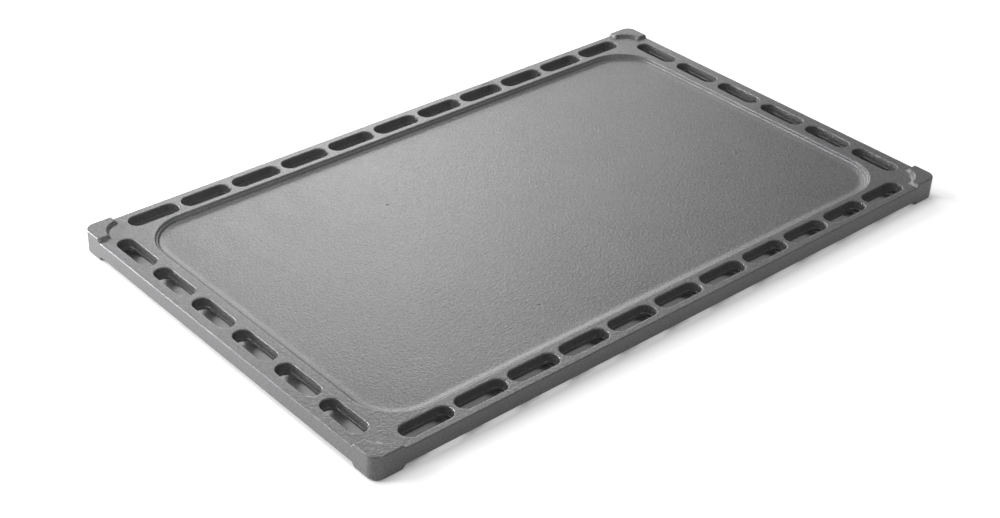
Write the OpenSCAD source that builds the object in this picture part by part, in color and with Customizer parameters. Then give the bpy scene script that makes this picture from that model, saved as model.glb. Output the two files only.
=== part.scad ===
/* [Plate] */
// Length over the long sides
plate_length = 530; // [400:1:650]
// Width over the short sides
plate_width = 325; // [260:1:420]
// Corner radius of the plate, seen from above
corner_radius = 8; // [5:0.5:12]
// Height of the rim, from its underside to its flat top
rim_height = 12; // [10:0.5:16]
// Rounding of the outer top edges
top_round = 1.8; // [0.5:0.1:3]
// Rounding of the outer bottom edges
bottom_round = 1; // [0.3:0.1:1.5]

/* [Rim bands] */
// Width of the slotted band along a long side
long_band = 22.3; // [21.5:0.1:26]
// Width of the slotted band along a short side
short_band = 24; // [22.5:0.1:28]

/* [Slots] */
// Spacing of the slots in a long side
long_pitch = 43.2; // [42:0.1:60]
// Spacing of the slots in a short side
short_pitch = 46; // [42:0.1:60]
// Least land between the last slot of a row and the corner block
end_land = 2; // [1:0.1:10]
// Length of a slot at the flat top of the rim
slot_length = 40.6; // [30:0.1:41]
// Width of a slot at the flat top of the rim
slot_width = 14.6; // [11:0.1:15.5]
// Distance from the outer edge of a long side to the middle of its slots
long_slot_inset = 12.7; // [11.5:0.1:13.5]
// Distance from the outer edge of a short side to the middle of its slots
short_slot_inset = 14.2; // [12.5:0.1:15]
// Chamfer round the top and the bottom of a slot
slot_chamfer = 0.9; // [0.3:0.1:1.2]
// Amount by which a slot wall leans in from its chamfers to its parting line
slot_draft = 0.5; // [0.2:0.1:0.8]
// Height of the parting line of a slot above the underside of the deck
slot_parting = 3; // [2:0.1:4.5]

/* [Cooking deck] */
// Flat land between the edge of the pan and the slotted band of a long side
long_pan_land = 0.9; // [0.3:0.1:3]
// Flat land between the edge of the pan and the slotted band of a short side
short_pan_land = 2.4; // [0.3:0.1:4]
// Corner radius of the edge of the pan
pan_radius = 35; // [20:1:45]
// Depth of the pan below the flat top of the rim
pan_depth = 3.6; // [2.5:0.1:5]
// Thickness of the cooking deck
deck_thickness = 6; // [4.5:0.1:6.2]
// Distance that the first step of the border reaches in
upper_step_run = 1.3; // [0.8:0.1:2]
// Drop of the first step of the border
upper_step_drop = 1.3; // [0.8:0.1:1.5]
// Width of the ledge between the steps
ledge_run = 1.3; // [0.6:0.1:2]
// Fall of the ledge between the steps
ledge_drop = 0.2; // [0.1:0.1:0.4]
// Distance that the second step of the border reaches in
lower_step_run = 1.1; // [0.8:0.1:2]
// Distance from the second step to the flat of the deck
foot_run = 5.8; // [3:0.1:8]
// Drop left for the hollow at the foot of the border
foot_drop = 0.8; // [0.3:0.1:0.9]
// Width of the skirt that hangs from the outer edge of a rim, below the underside of the deck
skirt_width = 4; // [2.5:0.1:4.2]

/* [Corner blocks] */
// Height of a lug above the flat top of the rim
lug_height = 2.4; // [1.5:0.1:4]
// Radius of the round bite in a lug, where it meets the rim
bite_radius = 13.5; // [10:0.1:15]
// Horizontal run of the slope that leads up from the bite
bite_slope = 3; // [1:0.1:4]
// Horizontal run of the slopes at the ends of a lug's arms
lug_slope = 2; // [1:0.1:3]
// Depth of a foot below the underside of the rim
foot_depth = 3.6; // [2.5:0.1:5]
// Rounding of the outer bottom edge of a foot
foot_round = 2.2; // [1:0.1:3]
// Horizontal run of the sloped ends of a foot
foot_slope = 3; // [1:0.1:4]

/* [Hidden] */
$fn = 64;

// Overlap of a cutter past the face that it opens
over = 1;
casting_grey = [0.36, 0.36, 0.36];

rim_bottom = foot_depth;
rim_top = rim_bottom + rim_height;
lug_top = rim_top + lug_height;
deck_top = rim_top - pan_depth;
deck_bottom = deck_top - deck_thickness;

// Half sizes of the middle rectangle, which the four bands surround
deck_half_x = plate_length / 2 - short_band;
deck_half_y = plate_width / 2 - long_band;
pan_half_x = deck_half_x - short_pan_land;
pan_half_y = deck_half_y - long_pan_land;

// How many slots fit in a row between two corner blocks
function slots_in(l, pitch) = floor((l - 2 * end_land - slot_length) / pitch) + 1;

// The border of the pan as [distance in, height] from the rim's top down to the deck
step_foot_run = upper_step_run + ledge_run + lower_step_run;
pan_profile = [
    [0, rim_top + over],
    [0, rim_top],
    [upper_step_run, rim_top - upper_step_drop],
    [upper_step_run + ledge_run, rim_top - upper_step_drop - ledge_drop],
    [step_foot_run, deck_top + foot_drop],
    [step_foot_run + foot_run / 2, deck_top + foot_drop / 4],
    [step_foot_run + foot_run, deck_top]
];
// The wall of a slot: a chamfer, two leaning walls that meet at the parting line, and a chamfer
slot_profile = [
    [0, rim_top + over],
    [0, rim_top],
    [slot_chamfer, rim_top - slot_chamfer],
    [slot_chamfer + slot_draft, deck_bottom + slot_parting],
    [slot_chamfer, deck_bottom + slot_chamfer],
    [0, deck_bottom],
    [0, deck_bottom - over]
];

// A closed outline from a wall profile to an axis that lies at distance r
function to_axis(profile, r) = concat(
    [[0, profile[0][1]]],
    [for (p = profile) [r - p[0], p[1]]],
    [[0, profile[len(profile) - 1][1]]]
);

// A straight run of length l along X, whose section in Y and Z is the child
module run_x(l) {
    rotate([90, 0, 90]) linear_extrude(height = l) children();
}

// The space inside a rounded rectangle whose wall follows a profile
module sunk_space(half_x, half_y, r, profile) {
    flat_x = half_x - r;
    flat_y = half_y - r;
    low = profile[len(profile) - 1][1];
    high = profile[0][1];
    translate([-flat_x, -flat_y, low]) cube([2 * flat_x, 2 * flat_y, high - low]);
    for (s = [0, 180]) {
        rotate([0, 0, s]) {
            translate([-flat_x, flat_y, 0]) run_x(2 * flat_x) polygon(to_axis(profile, r));
            translate([flat_x, flat_y, 0]) {
                rotate([0, 0, -90]) run_x(2 * flat_y) polygon(to_axis(profile, r));
                rotate_extrude(angle = 90) polygon(to_axis(profile, r));
            }
            translate([-flat_x, flat_y, 0]) rotate([0, 0, 90]) {
                rotate_extrude(angle = 90) polygon(to_axis(profile, r));
            }
        }
    }
}

// One slot along X, with its middle at the origin
module slot_space() {
    r = slot_width / 2;
    flat = slot_length / 2 - r;
    for (s = [0, 180]) {
        rotate([0, 0, s]) {
            translate([-flat, 0, 0]) run_x(2 * flat) polygon(to_axis(slot_profile, r));
            translate([flat, 0, 0]) rotate([0, 0, -90]) rotate_extrude(angle = 180) {
                polygon(to_axis(slot_profile, r));
            }
        }
    }
}

// What rounding an outer corner of radius r takes off a square section
module section_round(r) {
    difference() {
        square([r + over, r + over]);
        circle(r = r);
    }
}

// Section of a band from its inner face at 0 out to w, between two heights
module edge_section(w, low, high, r_low, r_high) {
    difference() {
        translate([0, low]) square([w, high - low]);
        translate([w - r_high, high - r_high]) section_round(r_high);
        translate([w - r_low, low + r_low]) mirror([0, 1]) section_round(r_low);
    }
}

// Section of a slotted band of width w: a plate with its skirt at the outer edge
module band_section(w) {
    difference() {
        edge_section(w, rim_bottom, rim_top, bottom_round, top_round);
        translate([-over, rim_bottom - over]) {
            square([w - skirt_width + over, deck_bottom - rim_bottom + over]);
        }
    }
}

// A straight slotted rim along X at the +Y side, its inner face at y = 0
module slotted_rim(l, band, pitch, slot_y) {
    slots = slots_in(l, pitch);
    difference() {
        translate([-l / 2, 0, 0]) run_x(l) band_section(band);
        for (i = [0 : slots - 1]) {
            translate([(i - (slots - 1) / 2) * pitch, slot_y, 0]) slot_space();
        }
    }
}

module long_rim() {
    translate([0, deck_half_y, 0]) {
        slotted_rim(2 * deck_half_x, long_band, long_pitch, long_band - long_slot_inset);
    }
}

module short_rim() {
    rotate([0, 0, -90]) translate([0, deck_half_x, 0]) {
        slotted_rim(2 * deck_half_y, short_band, short_pitch, short_band - short_slot_inset);
    }
}

// A block of the back right corner between two heights, with rounded outer edges
module corner_body(low, high, r_low, r_high) {
    arc_x = short_band - corner_radius;
    arc_y = long_band - corner_radius;
    run_x(arc_x) edge_section(long_band, low, high, r_low, r_high);
    translate([arc_x, arc_y, 0]) rotate([0, 0, -90]) run_x(arc_y) {
        edge_section(corner_radius, low, high, r_low, r_high);
    }
    translate([arc_x, arc_y, 0]) rotate_extrude(angle = 90) {
        edge_section(corner_radius, low, high, r_low, r_high);
    }
}

// The wedge that slopes the end of an arm, from its foot at 0 up to the full step in the run given
module end_slope(base, step, run, depth) {
    far = base + 2 * step;
    translate([0, depth, 0]) rotate([90, 0, 0]) linear_extrude(height = depth + over) {
        polygon([[-over, base], [0, base], [run, base + step], [run, far], [-over, far]]);
    }
}

// The back right corner: its lug above, its foot below, its inner corner at the origin
module corner_block() {
    reach = short_band + long_band;
    difference() {
        corner_body(0, lug_top, foot_round, top_round);
        translate([0, 0, rim_top]) {
            cylinder(h = lug_height, r1 = bite_radius, r2 = bite_radius + bite_slope);
            translate([0, 0, lug_height]) cylinder(h = over, r = bite_radius + bite_slope);
        }
        end_slope(rim_top, lug_height, lug_slope, reach);
        mirror([1, -1, 0]) end_slope(rim_top, lug_height, lug_slope, reach);
        end_slope(rim_bottom, -foot_depth, foot_slope, reach);
        mirror([1, -1, 0]) end_slope(rim_bottom, -foot_depth, foot_slope, reach);
    }
}

module placed_corner() {
    translate([deck_half_x, deck_half_y, 0]) corner_block();
}

module cooking_deck() {
    color(casting_grey) difference() {
        translate([-deck_half_x, -deck_half_y, deck_bottom]) {
            cube([2 * deck_half_x, 2 * deck_half_y, rim_top - deck_bottom]);
        }
        sunk_space(pan_half_x, pan_half_y, pan_radius, pan_profile);
    }
}

module back_slotted_rim() {
    color(casting_grey) long_rim();
}

module front_slotted_rim() {
    color(casting_grey) rotate([0, 0, 180]) long_rim();
}

module right_slotted_rim() {
    color(casting_grey) short_rim();
}

module left_slotted_rim() {
    color(casting_grey) rotate([0, 0, 180]) short_rim();
}

module back_right_corner() {
    color(casting_grey) placed_corner();
}

module front_left_corner() {
    color(casting_grey) rotate([0, 0, 180]) placed_corner();
}

module back_left_corner() {
    color(casting_grey) mirror([1, 0, 0]) placed_corner();
}

module front_right_corner() {
    color(casting_grey) mirror([0, 1, 0]) placed_corner();
}

cooking_deck();
front_slotted_rim();
back_slotted_rim();
left_slotted_rim();
right_slotted_rim();
front_left_corner();
front_right_corner();
back_left_corner();
back_right_corner();
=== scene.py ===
import math

import bmesh
import bpy
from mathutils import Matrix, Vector


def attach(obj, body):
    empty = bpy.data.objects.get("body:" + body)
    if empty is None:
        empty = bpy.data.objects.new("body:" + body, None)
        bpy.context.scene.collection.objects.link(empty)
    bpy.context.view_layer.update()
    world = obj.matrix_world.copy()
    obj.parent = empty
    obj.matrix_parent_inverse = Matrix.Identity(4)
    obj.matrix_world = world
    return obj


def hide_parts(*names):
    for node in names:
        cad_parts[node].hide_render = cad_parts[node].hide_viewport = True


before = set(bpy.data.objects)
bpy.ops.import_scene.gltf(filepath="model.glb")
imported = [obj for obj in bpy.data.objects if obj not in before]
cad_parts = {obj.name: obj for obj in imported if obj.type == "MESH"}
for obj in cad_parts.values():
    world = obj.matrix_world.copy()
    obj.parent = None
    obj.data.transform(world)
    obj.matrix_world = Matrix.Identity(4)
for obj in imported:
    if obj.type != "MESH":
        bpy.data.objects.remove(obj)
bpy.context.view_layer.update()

MM = 0.001

# Sizes, in millimetres
PLATE_LENGTH = 530.0
PLATE_WIDTH = 325.0
LONG_BAND = 22.3
SHORT_BAND = 24.0
CORNER_RADIUS = 8.0
RIM_HEIGHT = 12.0
LUG_HEIGHT = 2.4
PAN_DEPTH = 3.6
DECK_THICKNESS = 6.0

# Half sizes of the deck's rectangle, which the four rims surround
HALF_X = PLATE_LENGTH / 2 - SHORT_BAND
HALF_Y = PLATE_WIDTH / 2 - LONG_BAND

# Heights above the table
RIM_BOTTOM = 3.6
RIM_TOP = RIM_BOTTOM + RIM_HEIGHT
DECK_TOP = RIM_TOP - PAN_DEPTH
DECK_BOTTOM = DECK_TOP - DECK_THICKNESS

TOP_ROUND = 1.0
BOTTOM_ROUND = 1.0
FOOT_ROUND = 2.2

SLOT_LENGTH = 40.6
SLOT_WIDTH = 14.6
SLOT_FLAT = (SLOT_LENGTH - SLOT_WIDTH) / 2
SLOT_LIP = -0.15
SLOT_TOP_ROUND = 0.9
SLOT_LOW_ROUND = 1.0
LONG_SLOTS = 11
LONG_PITCH = 43.2
LONG_SLOT_INSET = 12.7
SHORT_SLOTS = 6
SHORT_PITCH = 46.0
SHORT_SLOT_INSET = 14.2
SKIRT = 4.0

# The mould's parting line in a slot's wall, and its ridge as (further inset, rise above the line)
PARTING = DECK_BOTTOM + 3.0
PARTING_RIDGE = [
    (0.2, 1.6), (0.3, 0.6), (0.34, 0.3), (0.65, 0.1), (0.65, -0.05), (0.3, -0.16), (0.22, -0.5)]

PAN_LAND_X = 2.4
PAN_LAND_Y = 0.9
PAN_RADIUS = 35.0

# Where the ground-off gate mark starts and ends along the back edge
GATE = (93.5, 107.5)
# Pits and a bump in the deck as (x, y, height, radius)
PITS = [(-76.1, 63.9, -0.35, 0.8), (-76.8, -97.8, -0.35, 0.7), (180.3, -37.5, 0.3, 0.9)]


def arc(radius, start, end, steps):
    """Points of an arc round the origin, from one angle to another in degrees."""
    angles = [math.radians(start + (end - start) * i / steps) for i in range(steps + 1)]
    return [(radius * math.cos(a), radius * math.sin(a)) for a in angles]


def spread(a, b, steps):
    """Evenly spaced values from a to b, both ends included."""
    return [a + (b - a) * i / steps for i in range(steps + 1)]


def smooth(t):
    """An even S-shaped rise from 0 to 1."""
    t = min(max(t, 0.0), 1.0)
    return t * t * (3 - 2 * t)


def ramp(t, round_share=0.22):
    """A straight slope from 0 to 1 with a small round at its foot and its top."""
    t = min(max(t, 0.0), 1.0)
    k = 1 / (2 * round_share * (1 - round_share))
    if t < round_share:
        return k * t * t
    if t > 1 - round_share:
        return 1 - k * (1 - t) ** 2
    return k * round_share * (2 * t - round_share)


class Skin:
    """Points and faces of one piece, in millimetres. Points that meet are merged at the end."""

    def __init__(self):
        self.points = []
        self.faces = []

    def row(self, points):
        start = len(self.points)
        self.points.extend(points)
        return list(range(start, len(self.points)))

    def bridge(self, rows, closed=False):
        """Faces between each row of points and the next."""
        rows = [self.row(r) for r in rows]
        for a, b in zip(rows, rows[1:]):
            n = len(a)
            for i in range(n if closed else n - 1):
                j = (i + 1) % n
                self.faces.append((a[i], a[j], b[j], b[i]))

    def fill(self, points):
        self.faces.append(tuple(self.row(points)))


def make_piece(name, skin, place, node):
    """A closed smooth mesh from a skin, each point put in its place by a function."""
    bm = bmesh.new()
    verts = [bm.verts.new(Vector(place(*p)) * MM) for p in skin.points]
    for f in skin.faces:
        bm.faces.new([verts[i] for i in f])
    bmesh.ops.remove_doubles(bm, verts=bm.verts, dist=0.002 * MM)
    bmesh.ops.dissolve_degenerate(bm, edges=bm.edges, dist=0.001 * MM)
    bmesh.ops.recalc_face_normals(bm, faces=bm.faces)
    mesh = bpy.data.meshes.new(name)
    bm.to_mesh(mesh)
    bm.free()
    for p in mesh.polygons:
        p.use_smooth = True
    mesh.set_sharp_from_angle(angle=math.radians(50))
    piece = bpy.data.objects.new(name, mesh)
    bpy.context.scene.collection.objects.link(piece)
    mesh.materials.append(COAT)
    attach(piece, "root")
    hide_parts(node)


# Slotted rims
ROUND_STEPS = 6
STRAIGHT_STEPS = 14
TURN_STEPS = (8, 14, 8)
TURN_ANGLES = (90, 48, -48, -90)


def slot_ring(inset, z, middle_u, middle_v):
    """The outline of a slot, taken in by inset, at height z."""
    r = SLOT_WIDTH / 2 - inset
    half_turn = []
    for k, steps in enumerate(TURN_STEPS):
        half_turn += arc(r, TURN_ANGLES[k], TURN_ANGLES[k + 1], steps)[:-1]
    ring = [(u, r) for u in spread(-SLOT_FLAT, SLOT_FLAT, STRAIGHT_STEPS)[:-1]]
    ring += [(SLOT_FLAT + u, v) for u, v in half_turn]
    ring += [(-u, -v) for u, v in ring]
    return [(middle_u + u, middle_v + v, z) for u, v in ring]


def cell_ring(half_pitch, low_v, high_v, z, middle_u):
    """The rectangle round a slot, with as many points as its outline."""
    a, b, c = TURN_STEPS
    ring = [(u, high_v) for u in spread(-SLOT_FLAT, SLOT_FLAT, STRAIGHT_STEPS)[:-1]]
    ring += [(u, high_v) for u in spread(SLOT_FLAT, half_pitch, a)[:-1]]
    ring += [(half_pitch, v) for v in spread(high_v, low_v, b)[:-1]]
    ring += [(u, low_v) for u in spread(half_pitch, SLOT_FLAT, c)[:-1]]
    ring += [(-u, low_v) for u in spread(-SLOT_FLAT, SLOT_FLAT, STRAIGHT_STEPS)[:-1]]
    ring += [(-u, low_v) for u in spread(SLOT_FLAT, half_pitch, a)[:-1]]
    ring += [(-half_pitch, v) for v in spread(low_v, high_v, b)[:-1]]
    ring += [(-u, high_v) for u in spread(half_pitch, SLOT_FLAT, c)[:-1]]
    return [(middle_u + u, v, z) for u, v in ring]


def slot_section():
    """The section of a slot's wall as (inset, z), from the flat top to the underside."""
    top, low, lip = SLOT_TOP_ROUND, SLOT_LOW_ROUND, SLOT_LIP
    turn = [math.radians(90 * i / ROUND_STEPS) for i in range(ROUND_STEPS + 1)]
    wall = lip + top
    section = [(lip - 0.6, RIM_TOP)]
    section += [(lip + top * math.sin(a), RIM_TOP - top + top * math.cos(a)) for a in turn]
    section += [(wall + 0.02, RIM_TOP - top - 0.4)]
    section += [(wall + inset, PARTING + rise) for inset, rise in PARTING_RIDGE]
    section += [(low + 0.02, DECK_BOTTOM + low + 0.3)]
    section += [(low * math.cos(a), DECK_BOTTOM + low - low * math.sin(a)) for a in turn]
    section += [(-0.4, DECK_BOTTOM)]
    return section


def edge_section(width, low, high, r_low, r_high):
    """The outer edge of a band as (v, z), from its flat top to its underside."""
    section = [(width - r_high - 0.5, high)]
    section += [(width - r_high + x, high - r_high + y) for x, y in arc(r_high, 90, 0, 8)]
    section += [(width, high - r_high - 0.5)]
    section += [(width, z) for z in spread(high - r_high - 0.5, low + r_low + 0.5, 6)[1:-1]]
    section += [(width, low + r_low + 0.5)]
    section += [(width - r_low + x, low + r_low + y) for x, y in arc(r_low, 0, -90, 6)]
    section += [(width - r_low - 0.5, low)]
    return section


def rim_skin(half_length, band, count, pitch, slot_inset):
    """A straight slotted rim along u, from its seam with the deck at v = 0 out to its edge."""
    skin = Skin()
    middle_v = band - slot_inset
    half_pitch = pitch / 2
    edge = edge_section(band, RIM_BOTTOM, RIM_TOP, BOTTOM_ROUND, TOP_ROUND)
    foot_v = band - SKIRT
    edge += [(foot_v + 0.5, RIM_BOTTOM), (foot_v + 0.15, RIM_BOTTOM + 0.1)]
    edge += [(foot_v, RIM_BOTTOM + 0.4), (foot_v, DECK_BOTTOM - 0.5)]
    edge += [(foot_v - 0.15, DECK_BOTTOM - 0.15), (foot_v - 0.5, DECK_BOTTOM)]
    top_v, low_v = edge[0][0], edge[-1][0]
    middles = [(i - (count - 1) / 2) * pitch for i in range(count)]
    for m in middles:
        rows = [cell_ring(half_pitch, 0.0, top_v, RIM_TOP, m)]
        rows += [slot_ring(inset, z, m, middle_v) for inset, z in slot_section()]
        rows += [cell_ring(half_pitch, 0.0, low_v, DECK_BOTTOM, m)]
        skin.bridge(rows, closed=True)
    ends = count * half_pitch
    land = spread(ends, half_length, 4)
    along = [-u for u in reversed(land)]
    for m in middles:
        along += [m + u for u in spread(-half_pitch, -SLOT_FLAT, TURN_STEPS[0])[1:]]
        along += [m + u for u in spread(-SLOT_FLAT, SLOT_FLAT, STRAIGHT_STEPS)[1:]]
        along += [m + u for u in spread(SLOT_FLAT, half_pitch, TURN_STEPS[0])[1:]]
    along += land[1:]
    skin.bridge([[(u, v, z) for u in along] for v, z in edge])
    skin.bridge([[(u, 0.0, z) for u in along] for z in (DECK_BOTTOM, RIM_TOP)])
    for side in (-1, 1):
        for v_end, z in ((top_v, RIM_TOP), (low_v, DECK_BOTTOM)):
            across = spread(v_end, 0.0, TURN_STEPS[1])
            skin.bridge([[(side * u, v, z) for v in across] for u in land])
        top = [(v, RIM_TOP) for v in spread(0.0, top_v, TURN_STEPS[1])]
        low = [(v, DECK_BOTTOM) for v in spread(low_v, 0.0, TURN_STEPS[1])]
        skin.fill([(side * half_length, v, z) for v, z in top + edge[1:-1] + low])
    return skin


def gate_dip(u, v, z):
    """The back edge's top sinks a little where the casting's gate was ground off."""
    along = smooth((u - GATE[0]) / 1.5) * smooth((GATE[1] - u) / 1.5)
    reach = along * smooth((v - LONG_BAND + 6.4) / 1.5)
    return z - 0.3 * reach * smooth((z - 12.5) / 2.0)


# Cooking deck
ARC_STEPS = 16
GRID_STEP = 5.0
MARK_STEPS = (-1.8, -1.2, -0.8, -0.5, -0.25, 0, 0.25, 0.5, 0.8, 1.2, 1.8)


def lines(half, step, marks):
    """Grid lines from -half to half about step apart, with close ones round each mark."""
    found = spread(-half, half, round(2 * half / step))
    near = [m + d for m in marks for d in MARK_STEPS]
    near = [x for x in near if abs(x) < half - 1]
    kept = [x for x in found if all(abs(x - n) > 0.9 for n in near) or abs(x) == half]
    return sorted(kept + near)


LINES_X = lines(HALF_X - PAN_LAND_X - PAN_RADIUS, GRID_STEP, [p[0] for p in PITS])
LINES_Y = lines(HALF_Y - PAN_LAND_Y - PAN_RADIUS, GRID_STEP, [p[1] for p in PITS])


def four_sides(half_x, half_y, scale_x, scale_y, quarter):
    """A closed ring, anticlockwise from the foot of its right side. quarter is its first corner."""
    ring = [(half_x, y * scale_y) for y in LINES_Y[:-1]] + quarter[:-1]
    ring += [(x * scale_x, half_y) for x in reversed(LINES_X[1:])]
    ring += [(-x, y) for x, y in reversed(quarter[1:])]
    ring += [(-half_x, y * scale_y) for y in reversed(LINES_Y[1:])]
    ring += [(-x, -y) for x, y in quarter[:-1]]
    ring += [(x * scale_x, -half_y) for x in LINES_X[:-1]]
    ring += [(x, -y) for x, y in reversed(quarter[1:])]
    return ring


def round_ring(half_x, half_y, r, z):
    """A rounded rectangle."""
    fx, fy = half_x - r, half_y - r
    quarter = [(fx + x, fy + y) for x, y in arc(r, 0, 90, 2 * ARC_STEPS)]
    ring = four_sides(half_x, half_y, fx / LINES_X[-1], fy / LINES_Y[-1], quarter)
    return [(x, y, z) for x, y in ring]


def square_ring(half_x, half_y, z):
    """A rectangle with as many points as round_ring."""
    quarter = [(half_x, y) for y in spread(LINES_Y[-1], half_y, ARC_STEPS)]
    quarter += [(x, half_y) for x in spread(half_x, LINES_X[-1], ARC_STEPS)[1:]]
    return [(x, y, z) for x, y in four_sides(half_x, half_y, 1, 1, quarter)]


def pan_section():
    """The border of the pan as (distance in, z): steps with rounded edges."""
    return [
        (0.0, RIM_TOP), (0.4, 15.57), (0.75, 15.46), (1.05, 15.22), (1.3, 14.94), (1.55, 14.66),
        (1.8, 14.43), (2.05, 14.31), (2.4, 14.22), (2.7, 14.06), (2.95, 13.82), (3.2, 13.52),
        (3.45, 13.22), (3.7, 12.98), (4.0, 12.83), (4.4, 12.74), (4.9, 12.62), (5.6, 12.46),
        (6.3, 12.3), (7.0, 12.16), (7.8, 12.07), (8.7, 12.02), (9.6, DECK_TOP)]


def deck_height(x, y, z):
    """The flat of the deck with its faint waves, its pits and its bump."""
    z += 0.035 * math.sin(x / 31 + 1.3) * math.sin(y / 23 + 0.4)
    z += 0.02 * math.sin(x / 13 - y / 17 + 2.1)
    for px, py, height, radius in PITS:
        d2 = (x - px) ** 2 + (y - py) ** 2
        if d2 < 16 * radius * radius:
            z += height * math.exp(-1.2 * d2 / radius ** 2)
    return z


def deck_skin():
    """The deck: its land, the pan's border, the flat with its marks, its sides and its underside."""
    skin = Skin()
    pan_x, pan_y = HALF_X - PAN_LAND_X, HALF_Y - PAN_LAND_Y
    rows = [square_ring(HALF_X, HALF_Y, RIM_TOP)]
    rows += [round_ring(pan_x + 0.5, pan_y + 0.5, PAN_RADIUS + 0.5, RIM_TOP)]
    rows += [round_ring(pan_x - d, pan_y - d, PAN_RADIUS - d, z) for d, z in pan_section()]
    flat_start = 13.5
    for d, blend in ((12.0, 0.5), (flat_start, 1.0)):
        ring = round_ring(pan_x - d, pan_y - d, PAN_RADIUS - d, DECK_TOP)
        rows.append([(x, y, z + blend * (deck_height(x, y, z) - z)) for x, y, z in ring])
    inner = flat_start + (PAN_RADIUS - flat_start) * (1 - 0.5 ** 0.5) + 1.0
    grid_x, grid_y = pan_x - inner, pan_y - inner
    rows.append([(x, y, deck_height(x, y, z)) for x, y, z in square_ring(grid_x, grid_y, DECK_TOP)])
    skin.bridge(rows, closed=True)
    fx, fy = LINES_X[-1], LINES_Y[-1]
    end_x, end_y = spread(fx, grid_x, ARC_STEPS)[1:], spread(fy, grid_y, ARC_STEPS)[1:]
    xs = [-x for x in reversed(end_x)] + LINES_X + end_x
    ys = [-y for y in reversed(end_y)] + LINES_Y + end_y
    skin.bridge([[(x, y, deck_height(x, y, DECK_TOP)) for x in xs] for y in ys])
    skin.bridge([square_ring(HALF_X, HALF_Y, z) for z in (RIM_TOP, DECK_BOTTOM)], closed=True)
    skin.fill(square_ring(HALF_X, HALF_Y, DECK_BOTTOM))
    return skin


# Corner blocks
BITE_RADIUS = 13.5
BITE_SLOPE = 3.0
ARM_SLOPE = 2.2
FOOT_SLOPE = 3.0


def corner_path(inset):
    """The outer outline of the back right corner, from its short side's seam to its long side's."""
    r = CORNER_RADIUS - inset
    cx, cy = SHORT_BAND - CORNER_RADIUS, LONG_BAND - CORNER_RADIUS
    side = [0.0, 0.25, 0.5, 0.8, 1.1, 1.4, 1.7, 2.0, 2.3, 2.7, 3.2, 3.8]
    path = [(SHORT_BAND - inset, q) for q in side + spread(4.8, cy, 9)]
    path += [(cx + x, cy + y) for x, y in arc(r, 0, 90, 28)[1:]]
    path += [(p, LONG_BAND - inset) for p in list(reversed(side + spread(4.8, cx, 11)))[1:]]
    return path


def lug_height(p, q):
    """Height of the corner's top: the rim's flat and the lug, with its round bite."""
    r = math.hypot(p, q)
    bite = ramp((r - BITE_RADIUS) / BITE_SLOPE)
    ends = ramp((p - 0.1) / ARM_SLOPE) * ramp((q - 0.1) / ARM_SLOPE)
    return RIM_TOP + LUG_HEIGHT * bite * ends


def foot_height(p, q):
    """Height of the corner's underside: the rim's underside and the foot."""
    step = smooth((p - 0.1) / FOOT_SLOPE) * smooth((q - 0.1) / FOOT_SLOPE)
    return RIM_BOTTOM * (1 - step)


def corner_skin():
    """The back right corner: its lug, its outer face and its foot, with its inner corner at 0, 0."""
    skin = Skin()
    stations = corner_path(0.0)
    top_edge = corner_path(TOP_ROUND + 0.4)
    tops = [lug_height(p, q) for p, q in corner_path(TOP_ROUND)]
    lows = [foot_height(p, q) for p, q in corner_path(FOOT_ROUND)]
    share = [1 - z / RIM_BOTTOM for z in lows]
    rounds = [BOTTOM_ROUND + (FOOT_ROUND - BOTTOM_ROUND) * s for s in share]
    radial = spread(0, 0.5, 6) + spread(0.5, 1, 44)[1:]
    rows = [[(t * p, t * q, lug_height(t * p, t * q)) for p, q in top_edge] for t in radial]
    for k in range(9):
        a = math.radians(90 * k / 8)
        inset, drop = TOP_ROUND * (1 - math.sin(a)), TOP_ROUND * (1 - math.cos(a))
        rows.append([(p, q, z - drop) for (p, q), z in zip(corner_path(inset), tops)])
    high = [z - TOP_ROUND - 0.5 for z in tops]
    foot = [z + r + 0.5 for z, r in zip(lows, rounds)]
    for k in range(8):
        t = k / 7
        rows.append([(p, q, a + (b - a) * t) for (p, q), a, b in zip(stations, high, foot)])
    for k in range(9):
        a = math.radians(90 * k / 8)
        row = []
        for i, (z, r) in enumerate(zip(lows, rounds)):
            p, q = corner_path(r * (1 - math.cos(a)))[i]
            row.append((p, q, z + r * (1 - math.sin(a))))
        rows.append(row)
    last = rows[-1]
    for t in [0.97, 0.93, 0.88] + spread(0.8, 0, 12):
        rows.append([(t * p, t * q, foot_height(t * p, t * q)) for p, q, z in last])
    skin.bridge(rows)
    for k in (0, -1):
        skin.fill([row[k] for row in rows])
    return skin


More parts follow.
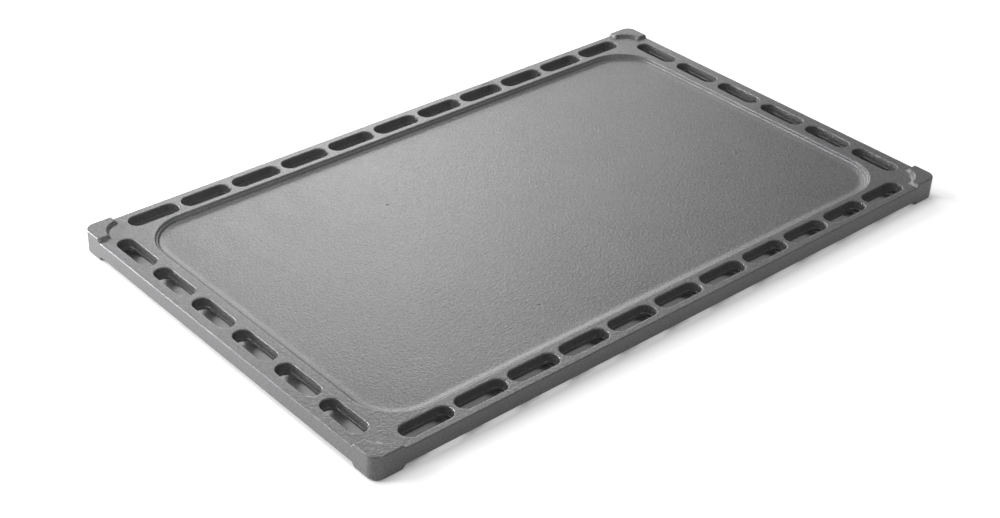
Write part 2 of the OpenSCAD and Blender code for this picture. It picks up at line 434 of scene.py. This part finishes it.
# Coat
def coat_material():
    """A sprayed dark grey coat: orange peel, grainy slot walls darkened with painted shade, faint
    streaks, the gate mark.
    """
    material = bpy.data.materials.new("griddle_coat")
    material.use_nodes = True
    tree = material.node_tree
    nodes, links = tree.nodes, tree.links
    shader = nodes["Principled BSDF"]
    shader.inputs["Specular IOR Level"].default_value = 0.5
    place = nodes.new("ShaderNodeTexCoord").outputs["Object"]

    def noise(scale, detail, rough=0.5, vector=place):
        n = nodes.new("ShaderNodeTexNoise")
        n.inputs["Scale"].default_value = scale
        n.inputs["Detail"].default_value = detail
        n.inputs["Roughness"].default_value = rough
        links.new(vector, n.inputs["Vector"])
        return n.outputs["Fac"]

    def sum_of(*values):
        total = values[0]
        for v in values[1:]:
            n = nodes.new("ShaderNodeMath")
            n.operation = "ADD"
            links.new(total, n.inputs[0])
            links.new(v, n.inputs[1])
            total = n.outputs[0]
        return total

    def times(a, b):
        n = nodes.new("ShaderNodeMath")
        n.operation = "MULTIPLY"
        links.new(a, n.inputs[0])
        if isinstance(b, (int, float)):
            n.inputs[1].default_value = b
        else:
            links.new(b, n.inputs[1])
        return n.outputs[0]

    def remap(value, low, high, to_low, to_high, kind="SMOOTHSTEP"):
        n = nodes.new("ShaderNodeMapRange")
        n.interpolation_type = kind
        for k, v in enumerate((low, high, to_low, to_high), 1):
            n.inputs[k].default_value = v
        links.new(value, n.inputs[0])
        return n.outputs[0]

    def axes(vector):
        n = nodes.new("ShaderNodeSeparateXYZ")
        links.new(vector, n.inputs[0])
        return n.outputs

    def magnitude(value):
        n = nodes.new("ShaderNodeMath")
        n.operation = "ABSOLUTE"
        links.new(value, n.inputs[0])
        return n.outputs[0]

    x, y = axes(place)[:2]
    upright = magnitude(axes(nodes.new("ShaderNodeNewGeometry").outputs["Normal"])[2])
    wall = remap(upright, 0.25, 0.85, 1.0, 0.0)
    edge_x, edge_y = PLATE_LENGTH / 2 * MM, PLATE_WIDTH / 2 * MM
    within_x = remap(magnitude(x), edge_x - 0.0028, edge_x - 0.0022, 1, 0)
    within_y = remap(magnitude(y), edge_y - 0.0028, edge_y - 0.0022, 1, 0)
    within = times(within_x, within_y)
    # Steep walls inside the outer faces, mostly the slot walls: they get the sand grain, and their
    # colour is darkened as painted shade
    slot_wall = times(wall, within)
    gate_start, gate_end = (end * MM for end in GATE)
    gate_x = times(remap(x, gate_start - 0.0005, gate_start + 0.0015, 0, 1),
                   remap(x, gate_end - 0.0015, gate_end + 0.0005, 1, 0))
    gate = times(gate_x, remap(y, edge_y - 0.0070, edge_y - 0.0055, 0, 1))

    lay = nodes.new("ShaderNodeMapping")
    lay.inputs["Rotation"].default_value = (0, 0, math.radians(-22))
    lay.inputs["Scale"].default_value = (55, 9, 20)
    links.new(place, lay.inputs["Vector"])
    streak = remap(noise(1.0, 1, 0.4, lay.outputs["Vector"]), 0.34, 0.5, 1, 0)
    streak = times(streak, remap(y, 0.015, 0.085, 0, 1))
    streak = times(streak, times(remap(y, 0.118, 0.128, 1, 0), remap(x, 0.02, 0.14, 1, 0)))
    cloud = noise(22, 3, 0.6)

    fleck = remap(noise(800, 3, 0.7), 0.3, 0.7, -0.6, 0.6, "LINEAR")
    # The tone: random cloud and flecks, the streaks and the gate mark, plus painted shade that
    # darkens the steep inner walls
    tone = sum_of(remap(cloud, 0.3, 0.7, 0.42, 0.58, "LINEAR"), fleck, times(streak, -0.1),
                  times(gate, -0.3), times(slot_wall, -0.5))
    paint = nodes.new("ShaderNodeMix")
    paint.data_type = "RGBA"
    paint.inputs["A"].default_value = (0.068, 0.068, 0.070, 1)
    paint.inputs["B"].default_value = (0.132, 0.132, 0.136, 1)
    links.new(tone, paint.inputs["Factor"])
    links.new(paint.outputs["Result"], shader.inputs["Base Color"])

    rough = sum_of(remap(noise(90, 2), 0.3, 0.7, 0.18, 0.22, "LINEAR"), times(fleck, 0.1),
                   times(streak, 0.02), times(gate, 0.2))
    links.new(rough, shader.inputs["Roughness"])

    def bump(height, distance, strength, under=None):
        n = nodes.new("ShaderNodeBump")
        n.inputs["Distance"].default_value = distance
        links.new(height, n.inputs["Height"])
        links.new(strength, n.inputs["Strength"])
        if under:
            links.new(under, n.inputs["Normal"])
        return n.outputs["Normal"]

    peel = bump(noise(500, 3, 0.6), 0.00025, remap(gate, 0, 1, 0.85, 1.0))
    sand = bump(noise(750, 4, 0.65), 0.0009, slot_wall, peel)
    grain = bump(noise(950, 2, 0.6), 0.0002, remap(sum_of(wall, gate), 0, 1, 0.7, 1.0), sand)
    links.new(grain, shader.inputs["Normal"])
    return material


COAT = coat_material()

long_rim = rim_skin(HALF_X, LONG_BAND, LONG_SLOTS, LONG_PITCH, LONG_SLOT_INSET)
short_rim = rim_skin(HALF_Y, SHORT_BAND, SHORT_SLOTS, SHORT_PITCH, SHORT_SLOT_INSET)
corner = corner_skin()
make_piece("deck", deck_skin(), lambda x, y, z: (x, y, z), "cooking_deck")
make_piece("back_rim", long_rim, lambda u, v, z: (u, HALF_Y + v, gate_dip(u, v, z)),
           "back_slotted_rim")
make_piece("front_rim", long_rim, lambda u, v, z: (-u, -HALF_Y - v, z), "front_slotted_rim")
make_piece("right_rim", short_rim, lambda u, v, z: (HALF_X + v, -u, z), "right_slotted_rim")
make_piece("left_rim", short_rim, lambda u, v, z: (-HALF_X - v, u, z), "left_slotted_rim")
CORNERS = [("back_right", 1, 1), ("back_left", -1, 1), ("front_right", 1, -1), ("front_left", -1, -1)]
for name, sx, sy in CORNERS:
    make_piece(name + "_block", corner,
               lambda p, q, z: (sx * (HALF_X + p), sy * (HALF_Y + q), z), name + "_corner")


# Stage
def seen_white(nodes, links, to_eye, to_gloss, light=0.0):
    """Strength of a background: to_eye for camera and transmission rays, to_gloss for glossy ones.

    Every other ray gets light.
    """
    path = nodes.new("ShaderNodeLightPath")

    def ray(name, factor):
        n = nodes.new("ShaderNodeMath")
        n.operation = "MULTIPLY_ADD"
        links.new(path.outputs[name], n.inputs[0])
        n.inputs[1].default_value = factor - light
        n.inputs[2].default_value = light
        return n.outputs[0]

    total = ray("Is Camera Ray", to_eye)
    for name, factor in (("Is Transmission Ray", to_eye), ("Is Glossy Ray", to_gloss)):
        n = nodes.new("ShaderNodeMath")
        n.operation = "MAXIMUM"
        links.new(total, n.inputs[0])
        links.new(ray(name, factor), n.inputs[1])
        total = n.outputs[0]
    return total


def stage_floor():
    """A pale floor that looks white, keeps the shadow, and doesn't glow under the plate."""
    bm = bmesh.new()
    bmesh.ops.create_grid(bm, x_segments=1, y_segments=1, size=8.0)
    mesh = bpy.data.meshes.new("floor")
    bm.to_mesh(mesh)
    bm.free()
    floor = bpy.data.objects.new("floor", mesh)
    floor.location = (0, 0, -0.0001)
    bpy.context.scene.collection.objects.link(floor)
    material = bpy.data.materials.new("pale_floor")
    material.use_nodes = True
    tree = material.node_tree
    nodes, links = tree.nodes, tree.links
    shader = nodes["Principled BSDF"]
    shader.inputs["Base Color"].default_value = (0.8, 0.8, 0.8, 1)
    shader.inputs["Roughness"].default_value = 0.9
    shader.inputs["Specular IOR Level"].default_value = 0.0
    shader.inputs["Emission Color"].default_value = (1, 1, 1, 1)

    def math_node(operation, a, b):
        n = nodes.new("ShaderNodeMath")
        n.operation = operation
        for k, v in enumerate((a, b)):
            if isinstance(v, (int, float)):
                n.inputs[k].default_value = v
            else:
                links.new(v, n.inputs[k])
        return n.outputs[0]

    split = nodes.new("ShaderNodeSeparateXYZ")
    links.new(nodes.new("ShaderNodeTexCoord").outputs["Object"], split.inputs[0])
    # Half sizes, in metres, of the area under the plate where the floor's glow is masked out
    mask_x, mask_y = 0.262, 0.160
    out_x = math_node("SUBTRACT", math_node("ABSOLUTE", split.outputs[0], 0.0), mask_x)
    out_y = math_node("SUBTRACT", math_node("ABSOLUTE", split.outputs[1], 0.0), mask_y)
    clear = nodes.new("ShaderNodeMapRange")
    clear.interpolation_type = "SMOOTHSTEP"
    clear.inputs["From Min"].default_value = -0.004
    clear.inputs["From Max"].default_value = 0.012
    links.new(math_node("MAXIMUM", out_x, out_y), clear.inputs["Value"])
    glow = math_node("MULTIPLY", seen_white(nodes, links, 0.5, 0.2), clear.outputs["Result"])
    links.new(glow, shader.inputs["Emission Strength"])
    mesh.materials.append(material)


stage_floor()

world = bpy.data.worlds.new("studio")
bpy.context.scene.world = world
world.use_nodes = True
world.node_tree.nodes["Background"].inputs["Color"].default_value = (1, 1, 1, 1)
tree = world.node_tree
backdrop = seen_white(tree.nodes, tree.links, 1.0, 0.4, 0.2)
tree.links.new(backdrop, tree.nodes["Background"].inputs["Strength"])


def softbox(name, azimuth, elevation, distance, size, power):
    """A square area light that faces the middle of the plate."""
    a, e = math.radians(azimuth), math.radians(elevation)
    aim = Vector((math.cos(e) * math.cos(a), math.cos(e) * math.sin(a), math.sin(e)))
    lamp = bpy.data.lights.new(name, "AREA")
    lamp.shape = "SQUARE"
    lamp.size = size
    lamp.energy = power
    holder = bpy.data.objects.new(name, lamp)
    holder.location = aim * distance
    holder.rotation_euler = aim.to_track_quat("Z", "Y").to_euler()
    bpy.context.scene.collection.objects.link(holder)


# Name, azimuth and elevation in degrees, distance and size in metres, power in watts
SOFTBOXES = [
    ("key", 120, 7, 2.0, 0.6, 65.0),
    ("side", 135, 7, 2.0, 0.6, 16.8),
    ("upper_left", 115, 42, 1.1, 0.3, 5.2),
    ("upper_side", 160, 36, 1.1, 0.3, 5.2),
    ("front_fill", 270, 43, 2.0, 0.6, 9.5),
    ("sweep_1", 40, 19, 2.0, 0.4, 0.45),
    ("sweep_2", 40, 28, 2.0, 0.4, 0.69),
    ("sweep_3", 50, 12, 2.0, 0.4, 1.1),
    ("sweep_4", 50, 28, 2.0, 0.4, 0.75),
    ("sweep_5", 50, 37, 2.0, 0.4, 1.2),
    ("sweep_6", 60, 19, 2.0, 0.4, 1.6),
    ("sweep_7", 60, 30, 2.0, 0.6, 2.9),
    ("sweep_8", 70, 28, 2.0, 0.4, 1.3),
]
for row in SOFTBOXES:
    softbox(*row)

# The camera's place, angles and lens come from a pinhole fit to the plate's edges in the photo
camera_data = bpy.data.cameras.new("camera")
camera_data.sensor_width = 36.0
camera_data.lens = 63.10345
camera = bpy.data.objects.new("camera", camera_data)
camera.location = (-0.744093, -0.780666, 0.658219)
camera.rotation_euler = [math.radians(a) for a in (57.32321, -1.98362, -41.41641)]
bpy.context.scene.collection.objects.link(camera)
bpy.context.scene.camera = camera

bpy.context.scene.view_settings.view_transform = "Standard"
